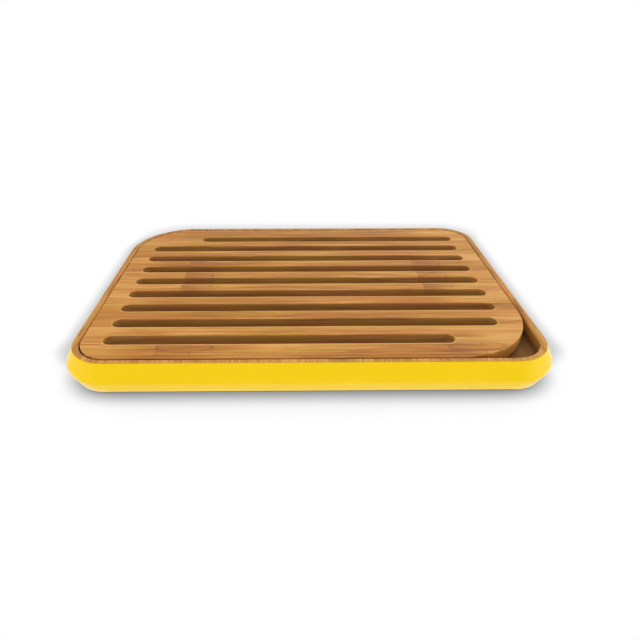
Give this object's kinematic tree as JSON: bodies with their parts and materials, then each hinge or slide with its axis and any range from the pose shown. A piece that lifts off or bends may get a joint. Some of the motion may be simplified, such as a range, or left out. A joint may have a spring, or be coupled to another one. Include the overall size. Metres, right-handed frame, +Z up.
{
  "type": "bread board",
  "caption": "Low rectangular crumb tray of bamboo with flared lacquered sides, holding a lift-out slotted bamboo rack flush with its rim; a finger gap is left at one corner.",
  "frame": {"origin": "on the surface that the board stands on, under the middle of the tray's widest outline", "axes": "+X to the right along the slots, +Y to the back, +Z up; the finger gap is at the front right corner"},
  "size_m": [0.38, 0.27, 0.0292],
  "materials": {
    "lacquered_bamboo": "satin yellow lacquer on the outside, oiled natural bamboo on the rim and inside",
    "natural_bamboo": "oiled, fine sanded",
    "foot_silicone": "matte, soft"
  },
  "bodies": {
    "tray": {"crumb_tray": "lacquered_bamboo", "foot_front_left": "foot_silicone", "foot_front_right": "foot_silicone", "foot_back_right": "foot_silicone", "foot_back_left": "foot_silicone"},
    "rack": {"slotted_rack": "natural_bamboo"}
  },
  "joints": [
    {"name": "rack_lift", "type": "slide", "parent": "tray", "child": "rack", "axis": [0, 0, 1], "range_m": [0, 0.06]}
  ]
}
